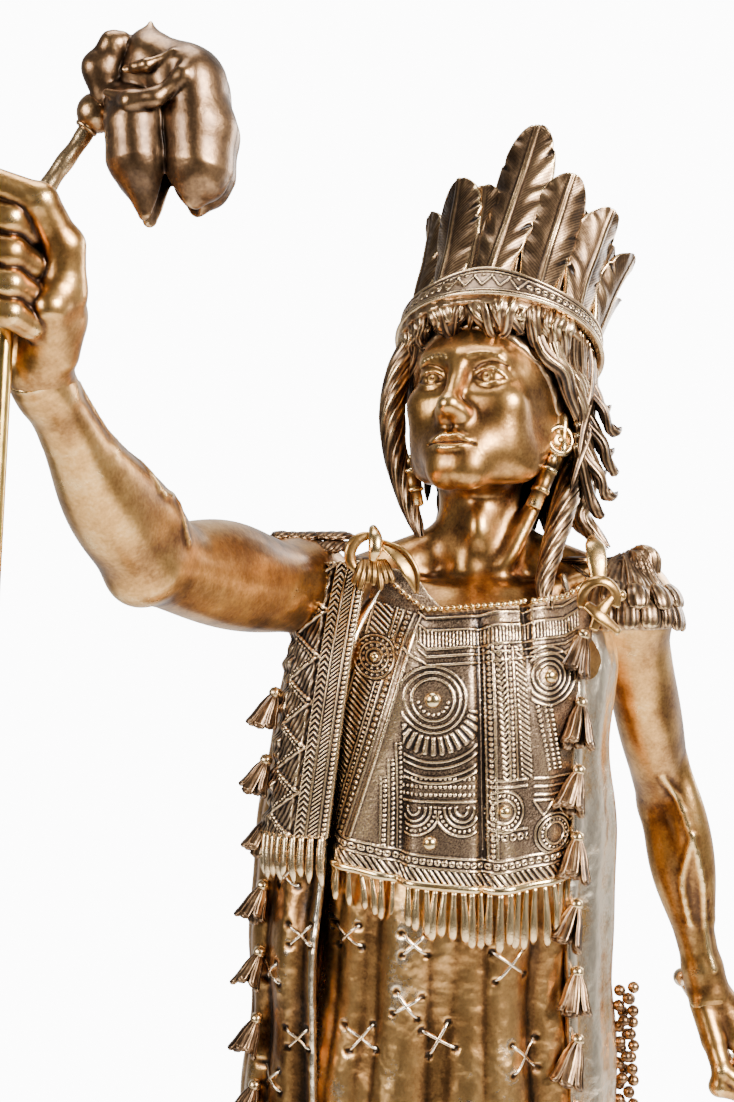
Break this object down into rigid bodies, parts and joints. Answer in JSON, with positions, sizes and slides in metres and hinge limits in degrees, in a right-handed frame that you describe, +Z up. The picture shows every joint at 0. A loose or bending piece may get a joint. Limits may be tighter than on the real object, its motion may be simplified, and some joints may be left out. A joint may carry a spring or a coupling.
{
  "type": "bronze statuette of a standing chief",
  "caption": "Cast bronze standing figure in a feather crown and fringed cloak, lifting a crooked flower staff, on a turned round plinth.",
  "frame": {"origin": "centre of the underside of the plinth's felt pad", "axes": "+Z up, the figure's chest faces -Y, +X to the right of someone facing its chest"},
  "size_m": [0.2939, 0.2778, 0.7135],
  "materials": {
    "bronze": "brown patina rubbed bright on raised points",
    "bronze_light": "rubbed golden bronze",
    "bronze_dark": "dark brown patina",
    "gold_brass": "polished brass",
    "steel": "plain",
    "turned_wood": "dark polish",
    "felt": "felt"
  },
  "bodies": {
    "figure": {"felt_pad": "felt", "plinth": "turned_wood", "plinth_screws": "steel", "foot_studs": "steel", "foot_washers": "steel", "foot_nuts": "steel", "arm_pins": "steel", "right_leg": "bronze", "left_leg": "bronze", "torso": "bronze", "right_arm": "bronze", "right_hand": "bronze", "left_arm": "bronze", "left_hand": "bronze", "head": "bronze", "tunic": "bronze", "tabard": "bronze", "cloak": "bronze", "shoulder_mantle": "bronze", "hatchet_handle": "bronze", "bead_strand": "bronze", "terrace": "bronze_dark", "right_sandal": "bronze_dark", "left_sandal": "bronze_dark", "hair": "bronze_dark", "hatchet_head": "bronze_dark", "tunic_fringe": "bronze_light", "tabard_band": "bronze_light", "tabard_fringe": "bronze_light", "collar_beads": "bronze_light", "tabard_studs": "bronze_light", "cloak_tassels_right": "bronze_light", "cloak_tassels_left": "bronze_light", "right_clasp": "bronze_light", "left_clasp": "bronze_light", "diadem": "bronze_light", "right_earring": "bronze_light", "left_earring": "bronze_light", "crown_feather_1": "bronze_light", "crown_feather_2": "bronze_light", "crown_feather_3": "bronze_light", "crown_feather_4": "bronze_light", "crown_feather_5": "bronze_light", "crown_feather_6": "bronze_light", "crown_feather_7": "bronze_light", "crown_feather_8": "bronze_light", "crown_feather_9": "bronze_light", "crown_feather_10": "bronze_light", "crown_feather_11": "bronze_light", "crown_feather_12": "bronze_light"},
    "staff": {"staff_shaft": "gold_brass", "staff_ferrule": "gold_brass", "staff_crook": "bronze_dark", "staff_knop": "bronze_light", "staff_flower": "bronze_dark"}
  },
  "joints": [
    {"name": "staff_lift", "type": "slide", "parent": "figure", "child": "staff", "axis": [0.0523, 0, 0.9986], "range_m": [0, 0.08]}
  ]
}
